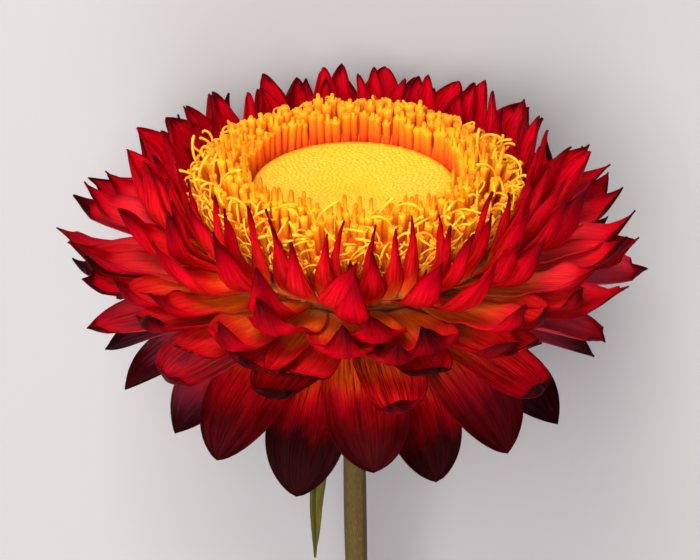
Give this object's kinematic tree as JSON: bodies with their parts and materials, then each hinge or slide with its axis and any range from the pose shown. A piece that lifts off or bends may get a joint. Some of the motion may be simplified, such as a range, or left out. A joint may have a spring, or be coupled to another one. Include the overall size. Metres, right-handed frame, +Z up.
{
  "type": "dried strawflower",
  "caption": "Dried strawflower lying on a table: layered papery red bracts round an orange-yellow disc of florets, on a thin cut stem with a narrow leaf.",
  "frame": {"origin": "centre of the underside of the bounding box, on the table the flower lies on", "axes": "+Z up from the table; +Y along the flower from the cut end of the stem towards the way the bloom faces; +X across it"},
  "size_m": [0.0566, 0.1122, 0.0523],
  "materials": {
    "stem": "matte",
    "leaf": "matte",
    "outer_bracts": "satin",
    "middle_bracts": "satin",
    "inner_bracts": "satin",
    "open_florets": "matte",
    "centre_florets": "matte"
  },
  "bodies": {
    "root": {"stem": "stem", "leaf": "leaf", "outer_bracts": "outer_bracts", "middle_bracts": "middle_bracts", "inner_bracts": "inner_bracts", "open_florets": "open_florets", "centre_florets": "centre_florets"}
  },
  "joints": []
}
